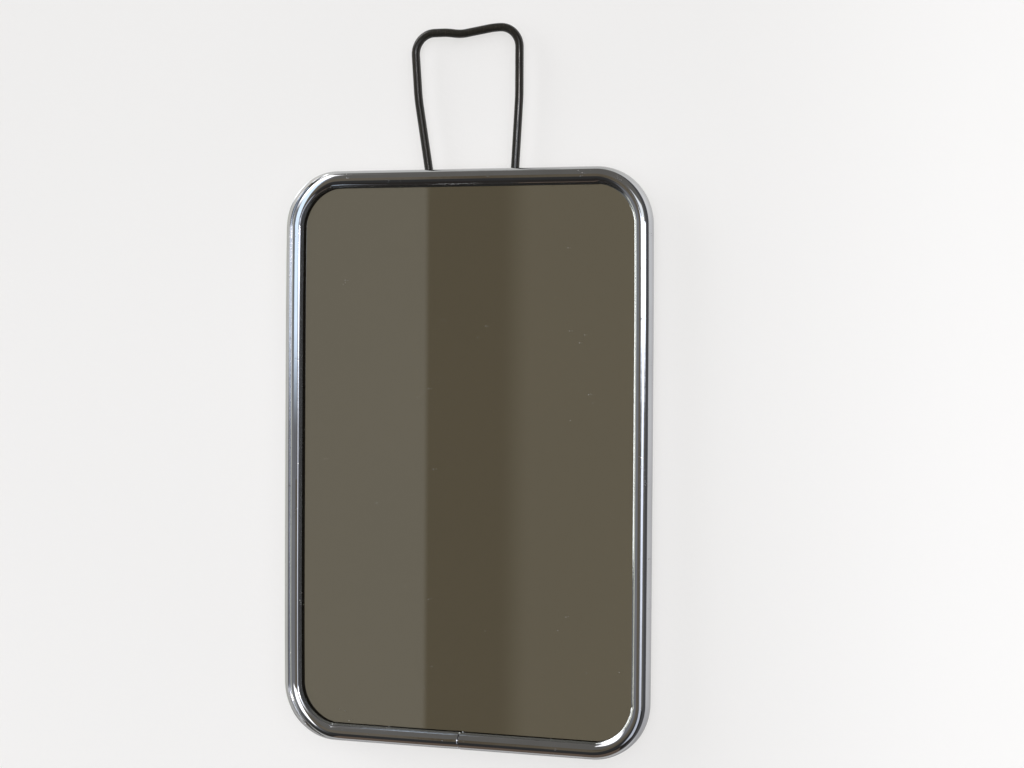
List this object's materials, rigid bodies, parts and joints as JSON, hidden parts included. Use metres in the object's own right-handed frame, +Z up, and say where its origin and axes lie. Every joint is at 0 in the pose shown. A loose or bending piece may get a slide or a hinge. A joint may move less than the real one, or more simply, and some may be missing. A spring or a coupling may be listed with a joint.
{
  "type": "hanging mirror",
  "caption": "Small rectangular hanging mirror: silvered glass in a rolled chromed rim with rounded corners, steel back, and a black wire bail swinging on a riveted saddle hinge.",
  "frame": {"origin": "bottom centre of the overall box: under the middle of the rim's lowest edge, halfway through the overall depth", "axes": "+Z up along the height of the mirror, the glass faces -Y, the hinge and bail are on the +Y side, +X to the right as seen from the front"},
  "size_m": [0.136, 0.0106, 0.2501],
  "materials": {
    "chrome_rim": "bright chrome with fine pitting",
    "brazed_strip": "bare, heat tinted",
    "clear_glass": "polished",
    "silver_layer": "silvered, painted behind",
    "grey_card": "matte",
    "back_enamel": "semi-gloss stoved enamel",
    "hinge_steel": "plated, dulled",
    "rivet_steel": "plated, dulled",
    "wire_enamel": "gloss black enamel"
  },
  "bodies": {
    "mirror": {"rim": "chrome_rim", "rim_tongue": "brazed_strip", "mirror_glass": "clear_glass", "silvering": "silver_layer", "packing_card": "grey_card", "back_plate": "back_enamel", "hinge_base": "hinge_steel", "hinge_saddle": "hinge_steel", "hinge_rivets": "rivet_steel"},
    "bail": {"hanger_bail": "wire_enamel"}
  },
  "joints": [
    {"name": "bail_hinge", "type": "hinge", "parent": "mirror", "child": "bail", "pos_m": [0, 0.00295, 0.14], "axis": [-1, 0, 0], "range_deg": [0, 180]}
  ]
}
